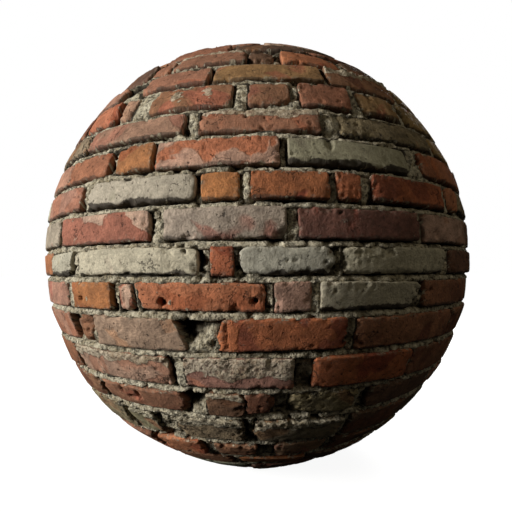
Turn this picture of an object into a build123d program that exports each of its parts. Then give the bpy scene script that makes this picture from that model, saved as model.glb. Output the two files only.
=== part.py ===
"""A brick ball for a garden: rings of brickwork laid round a mortar core, on a small flat foot.

Every course is a ring whose bed joints point at the ball's centre, as in a brick dome. The courses
stack from the foot to the crown, and one mass of mortar fills the middle and every bed joint.
Millimetres, +Z up. The origin is the middle of the foot's underside, and bearings are measured
from the front (-Y) towards +X, in degrees.
"""

import math
import os

from build123d import *

# Overall sizes
ball_diameter = 1030.0
foot_diameter = 276.0
foot_rim = 17.0  # height of the foot's edge along the curve, below the first bed joint
crown_diameter = 154.0

# Brickwork
brick_depth = 102.0
bed_joint = 10.0
mortar_recess = 7.0  # how far the joints lie behind the brick faces
# Rise of each course along the curve, from the foot up. The courses close up to fill the ball.
course_rises = [65, 65, 63, 67, 80, 63, 70, 66, 58, 55, 61, 58, 61, 57, 68, 66, 65, 59, 59, 59, 59, 60]

# The gap that a broken brick leaves in the front
gap_course = 8
gap_bearing = -11.4
gap_width = 44.0
gap_depth = 48.0

ball_radius = ball_diameter / 2
foot_radius = foot_diameter / 2
crown_radius = crown_diameter / 2
back_radius = ball_radius - brick_depth
joint_radius = ball_radius - mortar_recess
centre_height = math.sqrt(ball_radius**2 - foot_radius**2)


def bed_angles():
    """Elevation of each bed joint, in radians, from the one on the foot to the one under the crown."""
    lowest = -math.acos(foot_radius / ball_radius) + foot_rim / ball_radius
    highest = math.acos(crown_radius / ball_radius)
    share = (highest - lowest) / sum(course_rises)
    angles = [lowest]
    for rise in course_rises:
        angles.append(angles[-1] + rise * share)
    return angles


def on_bed(radius, angle, side):
    """The point at this radius on the face of a bed joint: side is 1 on its upper face, -1 on its lower."""
    turned = angle + side * math.asin(bed_joint / 2 / radius)
    return (radius * math.cos(turned), centre_height + radius * math.sin(turned))


def on_ball(radius, angle):
    """The point at this radius and elevation, in the plane of a half section."""
    return (radius * math.cos(angle), centre_height + radius * math.sin(angle))


def draw_course(low, high):
    """Half section of one course, between the bed joints at these two elevations."""
    middle = (low + high) / 2
    with BuildSketch(Plane.XZ) as section:
        with BuildLine():
            face = ThreePointArc(
                on_bed(ball_radius, low, 1), on_ball(ball_radius, middle), on_bed(ball_radius, high, -1)
            )
            back = ThreePointArc(
                on_bed(back_radius, high, -1), on_ball(back_radius, middle), on_bed(back_radius, low, 1)
            )
            Line(face @ 1, back @ 0)
            Line(back @ 1, face @ 0)
        make_face()
    return section.sketch


def draw_foot(angle):
    """Half section of the foot, from its flat underside up to the first bed joint."""
    rim = -math.acos(foot_radius / ball_radius)
    edge_top = on_bed(ball_radius, angle, -1)
    middle = (rim + angle) / 2
    with BuildSketch(Plane.XZ) as section:
        with BuildLine():
            underside = Line((0, 0), (foot_radius, 0))
            edge = ThreePointArc(underside @ 1, on_ball(ball_radius, middle), edge_top)
            bed = Line(edge @ 1, on_bed(back_radius, angle, -1))
            back = ThreePointArc(
                bed @ 1,
                on_ball(back_radius, (angle - math.pi / 2) / 2),
                (0, centre_height - back_radius),
            )
            Line(back @ 1, underside @ 0)
        make_face()
    return section.sketch


def draw_crown(angle):
    """Half section of the crown, above the last bed joint."""
    middle = (angle + math.pi / 2) / 2
    with BuildSketch(Plane.XZ) as section:
        with BuildLine():
            face = ThreePointArc(
                on_bed(ball_radius, angle, 1),
                on_ball(ball_radius, middle),
                (0, centre_height + ball_radius),
            )
            back = ThreePointArc(
                (0, centre_height + back_radius),
                on_ball(back_radius, middle),
                on_bed(back_radius, angle, 1),
            )
            Line(face @ 1, back @ 0)
            Line(back @ 1, face @ 0)
        make_face()
    return section.sketch


def cut_gap():
    """Block that clears a broken brick's place in a course: a radial box at the gap's bearing."""
    angles = bed_angles()
    elevation = (angles[gap_course - 1] + angles[gap_course]) / 2
    bearing = math.radians(gap_bearing)
    outward = Vector(
        math.cos(elevation) * math.sin(bearing),
        -math.cos(elevation) * math.cos(bearing),
        math.sin(elevation),
    )
    floor = Plane(
        origin=Vector(0, 0, centre_height) + outward * (ball_radius - gap_depth),
        x_dir=(math.cos(bearing), math.sin(bearing), 0),
        z_dir=outward,
    )
    tall = 2 * (angles[gap_course] - angles[gap_course - 1]) * ball_radius
    with BuildPart(floor) as block:
        Box(gap_width, tall, 2 * gap_depth, align=(Align.CENTER, Align.CENTER, Align.MIN))
    return block.part


def write(part, name):
    """Labels one piece and writes its STEP file."""
    part.label = name
    export_step(part, f"parts/{name}.step")


os.makedirs("parts", exist_ok=True)
beds = bed_angles()

foot_section = draw_foot(beds[0])
course_sections = [draw_course(low, high) for low, high in zip(beds, beds[1:])]
crown_section = draw_crown(beds[-1])

with BuildPart() as foot:
    add(foot_section)
    revolve(axis=Axis.Z)
write(foot.part, "foot")

for number, section in enumerate(course_sections, start=1):
    with BuildPart() as course:
        add(section)
        revolve(axis=Axis.Z)
        if number == gap_course:
            add(cut_gap(), mode=Mode.SUBTRACT)
    write(course.part, f"course_{number:02d}")

with BuildPart() as crown:
    add(crown_section)
    revolve(axis=Axis.Z)
write(crown.part, "crown")

with BuildPart() as mortar:
    with BuildSketch(Plane.XZ) as mass:
        with Locations((0, centre_height)):
            Circle(joint_radius)
        with Locations((-joint_radius, centre_height)):
            Rectangle(2 * joint_radius, 2 * joint_radius, mode=Mode.SUBTRACT)
        with Locations((0, -joint_radius)):
            Rectangle(2 * joint_radius, 2 * joint_radius, mode=Mode.SUBTRACT)
        for section in [foot_section, *course_sections, crown_section]:
            add(section, mode=Mode.SUBTRACT)
    revolve(axis=Axis.Z)
write(mortar.part, "mortar_core")
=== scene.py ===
"""The looks of the brick ball: its bricks, the mortar between them, and the studio it is seen in.

The bricks of each course are laid round the ball between the two bed joints that the frame gives.
Places on the ball are longitudes, from the front (-Y) towards +X, and latitudes, both in degrees.
Lengths are in millimetres until the meshes are made, which are in metres.
"""

import logging
import math
from dataclasses import dataclass, field
from enum import Enum
from itertools import product

import bmesh
import bpy
import numpy as np
from mathutils import Euler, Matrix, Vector


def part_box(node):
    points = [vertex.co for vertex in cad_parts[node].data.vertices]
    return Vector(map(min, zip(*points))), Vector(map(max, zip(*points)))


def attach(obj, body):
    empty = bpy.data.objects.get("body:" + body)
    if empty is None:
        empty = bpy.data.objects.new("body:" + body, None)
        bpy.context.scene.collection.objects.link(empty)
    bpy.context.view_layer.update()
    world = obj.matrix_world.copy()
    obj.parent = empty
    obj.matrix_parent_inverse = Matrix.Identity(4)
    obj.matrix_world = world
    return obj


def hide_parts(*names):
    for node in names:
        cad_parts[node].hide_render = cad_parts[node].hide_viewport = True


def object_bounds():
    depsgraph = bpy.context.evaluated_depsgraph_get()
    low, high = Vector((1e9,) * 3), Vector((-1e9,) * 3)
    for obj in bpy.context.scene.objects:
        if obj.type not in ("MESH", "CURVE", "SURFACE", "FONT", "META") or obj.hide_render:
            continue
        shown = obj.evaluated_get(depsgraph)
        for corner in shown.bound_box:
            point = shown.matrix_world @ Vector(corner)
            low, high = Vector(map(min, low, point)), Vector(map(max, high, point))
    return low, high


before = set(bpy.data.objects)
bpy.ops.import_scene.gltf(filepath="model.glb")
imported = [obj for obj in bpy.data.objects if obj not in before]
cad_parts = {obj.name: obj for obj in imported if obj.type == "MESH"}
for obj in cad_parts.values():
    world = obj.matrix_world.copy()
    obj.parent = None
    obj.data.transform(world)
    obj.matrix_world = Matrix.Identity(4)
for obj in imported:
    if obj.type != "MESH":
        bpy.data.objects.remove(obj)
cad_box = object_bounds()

log = logging.getLogger("brick_ball")
METRE = 1000.0  # millimetres
HALF_JOINT = 5.0  # half the width of a bed joint, in millimetres
Array = np.ndarray
Colour = tuple[float, float, float]


# ---------------------------------------------------------------- helpers


def linear(code: str) -> Colour:
    """Turns a colour written as six hexadecimal digits into linear red, green and blue.

    Args:
        code: The colour as a painter's chart gives it, such as "a87662".

    Returns:
        Linear values from 0 to 1.
    """
    parts = (int(code[i : i + 2], 16) / 255 for i in (0, 2, 4))
    red, green, blue = (p / 12.92 if p <= 0.04045 else ((p + 0.055) / 1.055) ** 2.4 for p in parts)
    return red, green, blue


def smooth(value: Array, low: float, high: float) -> Array:
    """Eases from 0 at low to 1 at high."""
    t = np.clip((value - low) / (high - low), 0, 1)
    return t * t * (3 - 2 * t)


def spaced(total: float, step: float) -> Array:
    """Places along a brick's side, close together near its arrises and even between them.

    Args:
        total: The side's length, in millimetres.
        step: The even spacing, in millimetres.

    Returns:
        Rising distances from 0 to total.
    """
    arris, margin = np.array([0.0, 1.2, 3.1]), 6.2
    inner = max(int(round((total - 2 * margin) / step)), 2)
    return np.concatenate([arris, np.linspace(margin, total - margin, inner + 1), total - arris[::-1]])


class Noise:
    """Smooth seeded noise over points in space."""

    def __init__(self, seed: int) -> None:
        """Deals the slopes that the noise is woven from.

        Args:
            seed: Seed of the random numbers.
        """
        draws = np.random.default_rng(seed)
        self.order = draws.permutation(256)
        slopes = draws.normal(size=(256, 3))
        self.slopes = slopes / np.linalg.norm(slopes, axis=1, keepdims=True)

    def at(self, points: Array, size: float) -> Array:
        """Reads the noise.

        Args:
            points: Places in space, one row each.
            size: The width of one wave, in the same unit.

        Returns:
            A value for each point, mostly between -1 and 1.
        """
        scaled = points / size
        cell = np.floor(scaled).astype(int)
        part = scaled - cell
        ease = part**3 * (part * (part * 6 - 15) + 10)
        total = np.zeros(len(points))
        for corner in product((0, 1), repeat=3):
            x, y, z = (cell + corner).T & 255
            key = self.order[(self.order[(self.order[x] + y) & 255] + z) & 255]
            weight = np.prod(np.where(corner, ease, 1 - ease), axis=1)
            total += weight * np.einsum("ij,ij->i", self.slopes[key], part - corner)
        return total * 1.7

    def rough(self, points: Array, size: float, octaves: int = 3) -> Array:
        """Adds finer and finer waves, each 0.55 as high as the last."""
        return sum(0.55**n * self.at(points + 31.7 * n, size / 2.1**n) for n in range(octaves))


# ---------------------------------------------------------------- the ball


@dataclass(frozen=True)
class Ball:
    """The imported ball: its radius, its centre's height and its bed joints, from the foot up."""

    radius: float
    centre: float
    foot: float
    beds: tuple[float, ...]

    @classmethod
    def from_frame(cls, half_joint: float) -> "Ball":
        """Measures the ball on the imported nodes.

        Args:
            half_joint: Half the width of a bed joint, in millimetres.

        Returns:
            The ball, with the latitude of each bed joint.
        """
        low, high = cad_box
        radius = (high.x - low.x) / 2 * METRE
        centre = high.z * METRE - radius
        half = math.degrees(math.asin(half_joint / radius))
        names = sorted(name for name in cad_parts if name.startswith("course_"))
        rises = [tuple(corner.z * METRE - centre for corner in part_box(name)) for name in names]
        beds = [math.degrees(math.asin(rises[0][0] / radius)) - half]
        for (_, top), (base, _) in zip(rises, rises[1:] + [(0.0, 0.0)]):
            over_equator = top > -1.1 * half_joint
            beds.append(math.degrees(math.asin((top if over_equator else base) / radius)))
            beds[-1] += half if over_equator else -half
        foot = math.sqrt(radius**2 - centre**2)
        return cls(radius, centre, foot, tuple(beds))

    def on(self, lon: Array, lat: Array, out: Array | float = 0.0) -> Array:
        """Points that stand out from the ball's surface by so many millimetres.

        Args:
            lon: Longitudes.
            lat: Latitudes.
            out: Distance outwards from the surface, negative under it.

        Returns:
            One row of x, y, z for each point, in millimetres.
        """
        lon, lat = np.radians(lon), np.radians(lat)
        reach = self.radius + out
        level = reach * np.cos(lat)
        rise = self.centre + reach * np.sin(lat)
        return np.stack([level * np.sin(lon), -level * np.cos(lon), rise + 0 * level], axis=-1)

    def degree(self, lat: float = 0.0) -> float:
        """Length of one degree of longitude at this latitude, in millimetres."""
        return math.radians(1) * self.radius * math.cos(math.radians(lat))


class Clay(Enum):
    """The kinds of brick in the ball.

    Each has the colours of its skin and of the body under it, the share of body that shows, how whole
    its coat of lime is, and how uneven its face is.
    """

    ROSE = ("ab836c", "ad7560", 0.45, 0.0, 1.0)
    RED_ROSE = ("9b6d53", "a9694f", 0.40, 0.0, 0.9)
    ORANGE = ("b27452", "aa6444", 0.40, 0.0, 0.9)
    ORANGE_TAN = ("b5784a", "a2623c", 0.40, 0.0, 0.9)
    RED_ORANGE = ("ad6744", "955138", 0.45, 0.0, 1.0)
    RED_BROWN = ("926449", "7b503b", 0.40, 0.0, 0.9)
    FLAKED_ROSE = ("c6a792", "ab705a", 0.66, 0.0, 0.5)
    SPALLED = ("b9957f", "b2714f", 0.52, 0.0, 0.7)
    TAN = ("ae907a", "ac826b", 0.45, 0.0, 1.1)
    OLIVE_TAN = ("97794f", "a3684a", 0.40, 0.0, 1.1)
    GREY_TAN = ("968669", "9a7859", 0.35, 0.0, 2.0)
    MAUVE = ("a89a86", "9c7563", 0.30, 0.0, 1.3)
    PLUM = ("7a5044", "82463a", 0.40, 0.0, 0.9)
    DARK_BROWN = ("6e513e", "7d553c", 0.40, 0.0, 1.2)
    CREAM = ("beb59f", "aa9e88", 0.25, 0.95, 0.4)
    GREY_WHITE = ("b9b29e", "9a9180", 0.25, 0.80, 1.5)
    LIME_GREEN = ("9b9681", "877f6a", 0.25, 0.90, 0.5)

    def __init__(self, skin: str, body: str, share: float, coat: float, relief: float) -> None:
        """Names the values of one kind."""
        self.skin, self.body = skin, body
        self.share, self.coat, self.relief = share, coat, relief


class Joint(Enum):
    """How the joint after a brick is filled."""

    FULL = "filled nearly flush"
    DEEP = "filled far behind the faces"
    HEAPED = "filled at its foot only"


@dataclass(frozen=True)
class Brick:
    """One brick of a course, by the longitudes of its ends and what time has done to it.

    Worn runs from 0, sharp, to 1, ruinous. Lean and ragged say in millimetres how far the left and the
    right end slope and break, and trim how much is missing from the lower and the upper bed. Smear is
    the share of the face under mortar, from its top down. Cracks are longitudes.
    """

    left: float
    right: float
    clay: Clay
    after: Joint = Joint.FULL
    worn: float = 0.35
    lean: tuple[float, float] = (0.0, 0.0)
    ragged: tuple[float, float] = (0.0, 0.0)
    trim: tuple[float, float] = (0.0, 0.0)
    smear: float = 0.0
    proud: float = 0.0
    cracks: tuple[float, ...] = ()


@dataclass(frozen=True)
class Hollow:
    """A hole, dent or groove in the brickwork: its place, half width, half height and depth."""

    lon: float
    lat: float
    wide: float
    high: float
    deep: float


@dataclass
class Shell:
    """One closed mesh in the making, with a value of each kind for every vertex."""

    points: Array
    quads: Array
    fans: Array
    skin: Array
    body: Array
    traits: Array
    relief: Array
    place: Array


def wrap_grid(rows: int, columns: int) -> tuple[Array, Array]:
    """Joins a grid of vertices, counted row by row, into squares and finds its border.

    Args:
        rows: Number of vertices up the grid.
        columns: Number of vertices along it.

    Returns:
        The squares, and the border's vertices in order, anticlockwise.
    """
    index = np.arange(rows * columns).reshape(rows, columns)
    corners = (index[:-1, :-1], index[:-1, 1:], index[1:, 1:], index[1:, :-1])
    squares = np.stack(corners, axis=-1).reshape(-1, 4)
    around = (index[0, :-1], index[:-1, -1], index[-1, :0:-1], index[:0:-1, 0])
    return squares, np.concatenate(around)


def close_grid(squares: Array, border: Array, count: int, rings: int) -> tuple[Array, Array]:
    """Adds walls down from a grid's border and a fan that closes the bottom.

    Args:
        squares: The grid's own squares.
        border: The grid's border, anticlockwise.
        count: Number of vertices in the grid. The rings follow them, and then the middle.
        rings: Number of rings of vertices down the walls.

    Returns:
        All the squares, and the triangles of the fan.
    """
    walls, above = [squares], border
    for ring in range(rings):
        below = count + ring * len(border) + np.arange(len(border))
        ahead = np.roll(above, -1), np.roll(below, -1)
        walls.append(np.stack([above, below, ahead[1], ahead[0]], axis=-1))
        above = below
    middle = np.full(len(border), count + rings * len(border))
    return np.concatenate(walls), np.stack([above, middle, np.roll(above, -1)], axis=-1)


@dataclass
class Face:
    """The outer face of one piece of brick, laid out flat as a grid of places."""

    brick: Brick
    low: float
    degree: float
    long: float
    tall: float
    rows: int
    columns: int
    x: Array
    y: Array
    rim: Array
    near_end: Array

    def places(self) -> tuple[Array, Array]:
        """Longitudes and latitudes of the places on the face."""
        lat = self.low + (self.y + self.brick.trim[0]) / self.degree
        return self.brick.left + self.x / self.long * (self.brick.right - self.brick.left), lat

    def by_end(self, ends: tuple[float, float]) -> Array:
        """Gives each place the value of the end that it is nearer to, left or right."""
        return np.where(self.x < self.long / 2, *ends)


@dataclass
class BrickMaker:
    """Shapes single bricks on the ball: worn arrises, broken ends, chips, pits and lumps of mortar."""

    ball: Ball
    fine: float = 3.3
    coarse: float = 4.8
    front_reach: float = 72.0
    front_lats: tuple[float, float] = (-62.0, 60.0)
    lip: float = 5.5
    bury: float = 30.0
    arris: tuple[float, float] = (0.7, 5.0)
    chip_every: float = 45.0
    pit_every: float = 2400.0
    shape: Noise = field(default_factory=lambda: Noise(11))
    outline: Noise = field(default_factory=lambda: Noise(23))
    hollows: tuple[Hollow, ...] = ()
    splashes: tuple[tuple[float, float, float], ...] = ()

    def shell(self, brick: Brick, low: float, high: float, draws: np.random.Generator) -> Shell:
        """Shapes one piece of brick.

        Args:
            brick: What the brick is like.
            low: Latitude of its lower face.
            high: Latitude of its upper face.
            draws: Seeded random numbers.

        Returns:
            The piece as a closed shell.
        """
        face = self.lay_out(brick, low, high, draws)
        self.bend_outline(face, draws)
        spot = self.ball.on(*face.places())
        stands = self.uneven(face, spot, draws)
        dip = self.worn_away(face, spot, draws)
        smear = self.smeared(brick, face.y / face.tall, spot)
        lumps = 1.8 + 1.4 * self.shape.rough(spot + 55, 26, 2) + 1.9 * self.shape.rough(spot + 66, 9, 2)
        return self.close(face, stands - dip + smear * lumps, dip, smear, draws)

    def lay_out(self, brick: Brick, low: float, high: float, draws: np.random.Generator) -> Face:
        """Lays out a brick's face, with a finer grid at the front of the ball.

        Args:
            brick: What the brick is like.
            low: Latitude of its lower face.
            high: Latitude of its upper face.
            draws: Seeded random numbers.

        Returns:
            The face, with its corners rounded.
        """
        middle_lat = (low + high) / 2
        long = (brick.right - brick.left) * self.ball.degree(middle_lat)
        tall = (high - low) * self.ball.degree() - sum(brick.trim)
        facing = abs((brick.left + brick.right) / 2) < self.front_reach
        facing = facing and self.front_lats[0] < middle_lat < self.front_lats[1]
        step = self.fine if facing else self.coarse
        along, up = spaced(long, step), spaced(tall, step)
        x, y = (g.ravel() for g in np.meshgrid(along, up))
        near_end, near_bed = np.minimum(x, long - x), np.minimum(y, tall - y)
        rim = np.minimum(near_end, near_bed)
        x, y = self.round_corners(x, y, long, tall, brick.worn, draws)
        return Face(brick, low, self.ball.degree(), long, tall, len(up), len(along), x, y, rim, near_end)

    def round_corners(
        self, x: Array, y: Array, long: float, tall: float, worn: float, draws: np.random.Generator
    ) -> tuple[Array, Array]:
        """Pulls the corners of a face in to arcs, each with a radius of its own.

        Args:
            x: Places along the face.
            y: Places up the face.
            long: The face's length.
            tall: The face's height.
            worn: How worn the brick is.
            draws: Seeded random numbers.

        Returns:
            The new places along and up the face.
        """
        x, y = x.copy(), y.copy()
        radii = draws.uniform(1.5, 4, 4) + 22 * worn**1.8 * draws.uniform(0.3, 1, 4)
        radii = np.minimum(radii, 0.45 * min(long, tall))
        for radius, (right, upper) in zip(radii, product((False, True), repeat=2)):
            s = 1 - (long - x if right else x) / radius
            t = 1 - (tall - y if upper else y) / radius
            inside = (s > 0) & (t > 0)
            s, t = s[inside], t[inside]
            pull = np.maximum(s, t) / np.hypot(s, t)
            near_x, near_y = radius * (1 - s * pull), radius * (1 - t * pull)
            x[inside] = long - near_x if right else near_x
            y[inside] = tall - near_y if upper else near_y
        return x, y

    def bend_outline(self, face: Face, draws: np.random.Generator) -> None:
        """Leans a face's ends, turns it a little in its bed, and lets its edges wander.

        Args:
            face: The face, which is changed.
            draws: Seeded random numbers.
        """
        brick = face.brick
        upright = 1 - smooth(face.near_end, 0, face.long * 0.45)
        face.x = face.x + face.by_end(brick.lean) * (face.y / face.tall - 0.5) * upright
        turn, sag = draws.normal(0, 0.7, 2)
        aside = face.x / face.long - 0.5
        face.y = face.y + turn * aside * 2 + sag * np.cos(aside * math.pi)
        spot = self.ball.on(*face.places())
        wander = np.exp(-face.rim / 9) * (0.8 + 2.4 * brick.worn)
        ragged = face.by_end(brick.ragged) * np.exp(-face.near_end / 10)
        face.x = face.x + wander * self.outline.rough(spot, 30, 4)
        face.x = face.x + ragged * self.outline.rough(spot + 90, 17, 3)
        face.y = face.y + 0.8 * wander * self.outline.rough(spot + 400, 26, 4)

    def uneven(self, face: Face, spot: Array, draws: np.random.Generator) -> Array:
        """How far a face stands out before anything is worn off it.

        Args:
            face: The face.
            spot: Its places in space.
            draws: Seeded random numbers.

        Returns:
            Millimetres outwards at each place.
        """
        stands = face.brick.proud + draws.normal(0, 1.0)
        tip = draws.normal(0, 1.2, 2)
        stands = stands + tip[0] * (face.x / face.long - 0.5) * 2 + tip[1] * (face.y / face.tall - 0.5) * 2
        waves = 0.8 * self.shape.rough(spot, 85, 2) + 0.3 * self.shape.rough(spot + 77, 15, 3)
        return stands + face.brick.clay.relief * waves

    def worn_away(self, face: Face, spot: Array, draws: np.random.Generator) -> Array:
        """Depth lost from a face to rounding, chips, pits and the hollows named for the ball.

        Args:
            face: The face.
            spot: Its places in space.
            draws: Seeded random numbers.

        Returns:
            Millimetres lost at each place.
        """
        worn = face.brick.worn
        slack, tight = self.arris
        radius = slack + (tight - slack) * worn + 1.5 * self.outline.at(spot + 200, 26)
        radius = np.clip(radius * np.where(face.y < face.tall * 0.4, 1.4, 0.9), 0.8, None)
        inward = radius - np.minimum(face.rim, radius)
        lost = radius - np.sqrt(radius**2 - inward**2)
        reach = 10 + 26 * worn
        lost += 1.6 * worn * (1 - smooth(face.near_end, 0, reach)) * draws.uniform(0.2, 1)
        lost += self.chipped(face, spot, draws)
        crumbled = 1.0 if face.brick.clay.coat else 0.5 * worn
        foot_edge = 4.5 + 5.5 * self.outline.rough(spot + 800, 22, 4)
        lost += 3.5 * crumbled * np.clip((foot_edge - face.y) / 1.5, 0, 1)
        return lost + self.hollowed(spot)

    def chipped(self, face: Face, spot: Array, draws: np.random.Generator) -> Array:
        """Depth lost to chips along the edges and small pits all over.

        Args:
            face: The face.
            spot: Its places in space.
            draws: Seeded random numbers.

        Returns:
            Millimetres lost at each place.
        """
        long, tall, worn = face.long, face.tall, face.brick.worn
        lost = np.zeros(len(spot))
        bitten = 1 + 0.8 * self.outline.rough(spot + 300, 8, 2)
        for _ in range(int(4 + 9 * worn + long / self.chip_every)):
            along, side = draws.uniform(0, long), draws.integers(0, 4)
            up = (0, tall, draws.uniform(0, tall), draws.uniform(0, tall))[side]
            along = (along, along, 0, long)[side]
            size = 3.5 + (5 + 14 * worn) * draws.uniform() ** 1.8
            deep = draws.uniform(1.0, 2.2 + 4.5 * worn)
            far = np.hypot(face.x - along, (face.y - up) * 1.25) / size * bitten
            lost += deep * np.clip(2.2 - 2.2 * far, 0, 1)
        for _ in range(int(long * tall / self.pit_every)):
            far = np.hypot(face.x - draws.uniform(6, long - 6), face.y - draws.uniform(4, tall - 4))
            lost += draws.uniform(0.4, 1.8) * np.clip(1 - (far / draws.uniform(3, 7)) ** 2, 0, 1)
        return lost

    def hollowed(self, spot: Array) -> Array:
        """Depth lost to the hollows named for the ball.

        Args:
            spot: Places in space, one row each.

        Returns:
            Millimetres lost at each place.
        """
        lost = np.zeros(len(spot))
        for hollow in self.hollows:
            away = spot - self.ball.on(hollow.lon, hollow.lat)
            if np.min(np.abs(away).sum(axis=1)) > hollow.wide + hollow.high:
                continue
            around, above = math.radians(hollow.lon), math.radians(hollow.lat)
            east = np.array([math.cos(around), math.sin(around), 0])
            flat = away @ east / hollow.wide
            rise = away[:, 2] / math.cos(above) / hollow.high
            lost += hollow.deep * np.clip(1.6 - 1.6 * (flat**2 + rise**2), 0, 1)
        return lost

    def close(
        self, face: Face, out: Array, dip: Array, smear: Array, draws: np.random.Generator
    ) -> Shell:
        """Closes a face with walls down into the mortar, and gives every vertex its values.

        Args:
            face: The face.
            out: How far each place stands out.
            dip: How deep it is worn.
            smear: Where mortar lies on it.
            draws: Seeded random numbers.

        Returns:
            The closed shell.
        """
        lon, lat = face.places()
        top = self.ball.on(lon, lat, out)
        squares, border = wrap_grid(face.rows, face.columns)
        rings = [self.ball.on(lon[border], lat[border], out[border] - self.lip)]
        rings.append(self.ball.on(lon[border], lat[border], -self.bury))
        foot = self.ball.on(*(f[border].mean(keepdims=True) for f in (lon, lat)), -self.bury)
        points = np.concatenate([top, *rings, foot])
        quads, fans = close_grid(squares, border, len(top), len(rings))

        source = np.concatenate([np.arange(len(top)), border, border, border[:1]])
        # The walls count as 6 and 20 mm deeper than the face's border, so that they are painted in shade.
        deep = np.concatenate([dip, dip[border] + 6, dip[border] + 20, dip[border[:1]] + 20])
        edge = np.concatenate([face.rim, np.zeros(2 * len(border) + 1)])
        smear = smear[source] * (edge > 0)
        clay, count = face.brick.clay, len(points)
        offset = draws.uniform(0, 9)
        x, y = face.x[source], face.y[source]
        place = np.stack([x, y + 0.7 * deep, np.full(count, offset * METRE)], axis=-1)
        return Shell(
            points / METRE,
            quads,
            fans,
            np.tile(self.tinted(clay.skin, draws), (count, 1)),
            np.tile(self.tinted(clay.body, draws), (count, 1)),
            np.stack([np.full(count, clay.share), np.full(count, clay.coat), smear], axis=-1),
            np.stack([edge, deep, y], axis=-1),
            place / METRE,
        )

    def smeared(self, brick: Brick, up: Array, spot: Array) -> Array:
        """Where mortar was left on a brick's face: down from its top, and in small splashes.

        Args:
            brick: What the brick is like.
            up: Places up the face, from 0 to 1.
            spot: The same places in space.

        Returns:
            1 under mortar and 0 on bare brick.
        """
        line = brick.smear + 0.22 * self.shape.rough(spot + 600, 60, 3) if brick.smear else -9.0
        left = smooth(line - (1 - up), -0.14, 0.20)
        for lon, lat, size in self.splashes:
            away = np.linalg.norm(spot - self.ball.on(lon, lat), axis=1) / size
            left = np.maximum(left, smooth(1.1 + 0.9 * self.shape.rough(spot + 640, 12, 2) - away, 0, 0.35))
        return left

    def tinted(self, code: str, draws: np.random.Generator) -> Array:
        """A colour with a little of the kiln's unevenness, as four channels."""
        tone = np.array(linear(code)) * draws.normal(1, 0.08) * draws.normal(1, 0.035, 3)
        return np.append(np.clip(tone, 0.01, 0.9), 1.0)


# ---------------------------------------------------------------- how the courses are laid

HOLLOWS = (
    Hollow(-38.0, -10.0, 6.5, 6.0, 16.0),
    Hollow(-17.3, -10.2, 7.5, 7.0, 18.0),
    Hollow(-0.3, -10.0, 5.5, 5.5, 16.0),
    Hollow(0.6, -9.0, 1.6, 17.0, 2.5),
    Hollow(-1.2, -9.2, 1.6, 15.0, 2.0),
    Hollow(36.5, -8.7, 5.0, 4.5, 12.0),
    Hollow(-17.2, 2.2, 8.0, 9.0, 12.0),
    Hollow(-11.8, 1.2, 12.0, 5.0, 6.0),
    Hollow(14.0, 18.2, 7.0, 14.0, 5.0),
    Hollow(38.0, 2.2, 9.0, 11.0, 5.0),
    Hollow(-5.5, -16.0, 2.5, 26.0, 4.0),
    Hollow(-9.6, 17.2, 1.8, 9.0, 4.5),
    Hollow(-1.2, 18.8, 1.8, 8.0, 4.0),
    Hollow(0.8, 18.8, 1.5, 7.0, 3.0),
    Hollow(-15.5, 15.8, 11.0, 1.8, 3.0),
    Hollow(-45.0, 15.2, 6.0, 5.0, 6.0),
    Hollow(-16.0, 15.5, 24.0, 6.0, 3.5),
    Hollow(-31.0, -31.5, 13.0, 6.0, 7.0),
    Hollow(-28.6, -30.4, 5.0, 14.0, 6.0),
    Hollow(-33.5, -29.6, 4.0, 12.0, 5.0),
)

# Splashes of lime on the bricks: longitude, latitude and radius.
SPLASHES = ((-18.0, 30.3, 10.5), (-10.5, 30.6, 9.5), (-15.6, -10.3, 3.2), (-35.6, -9.9, 2.8))

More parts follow.
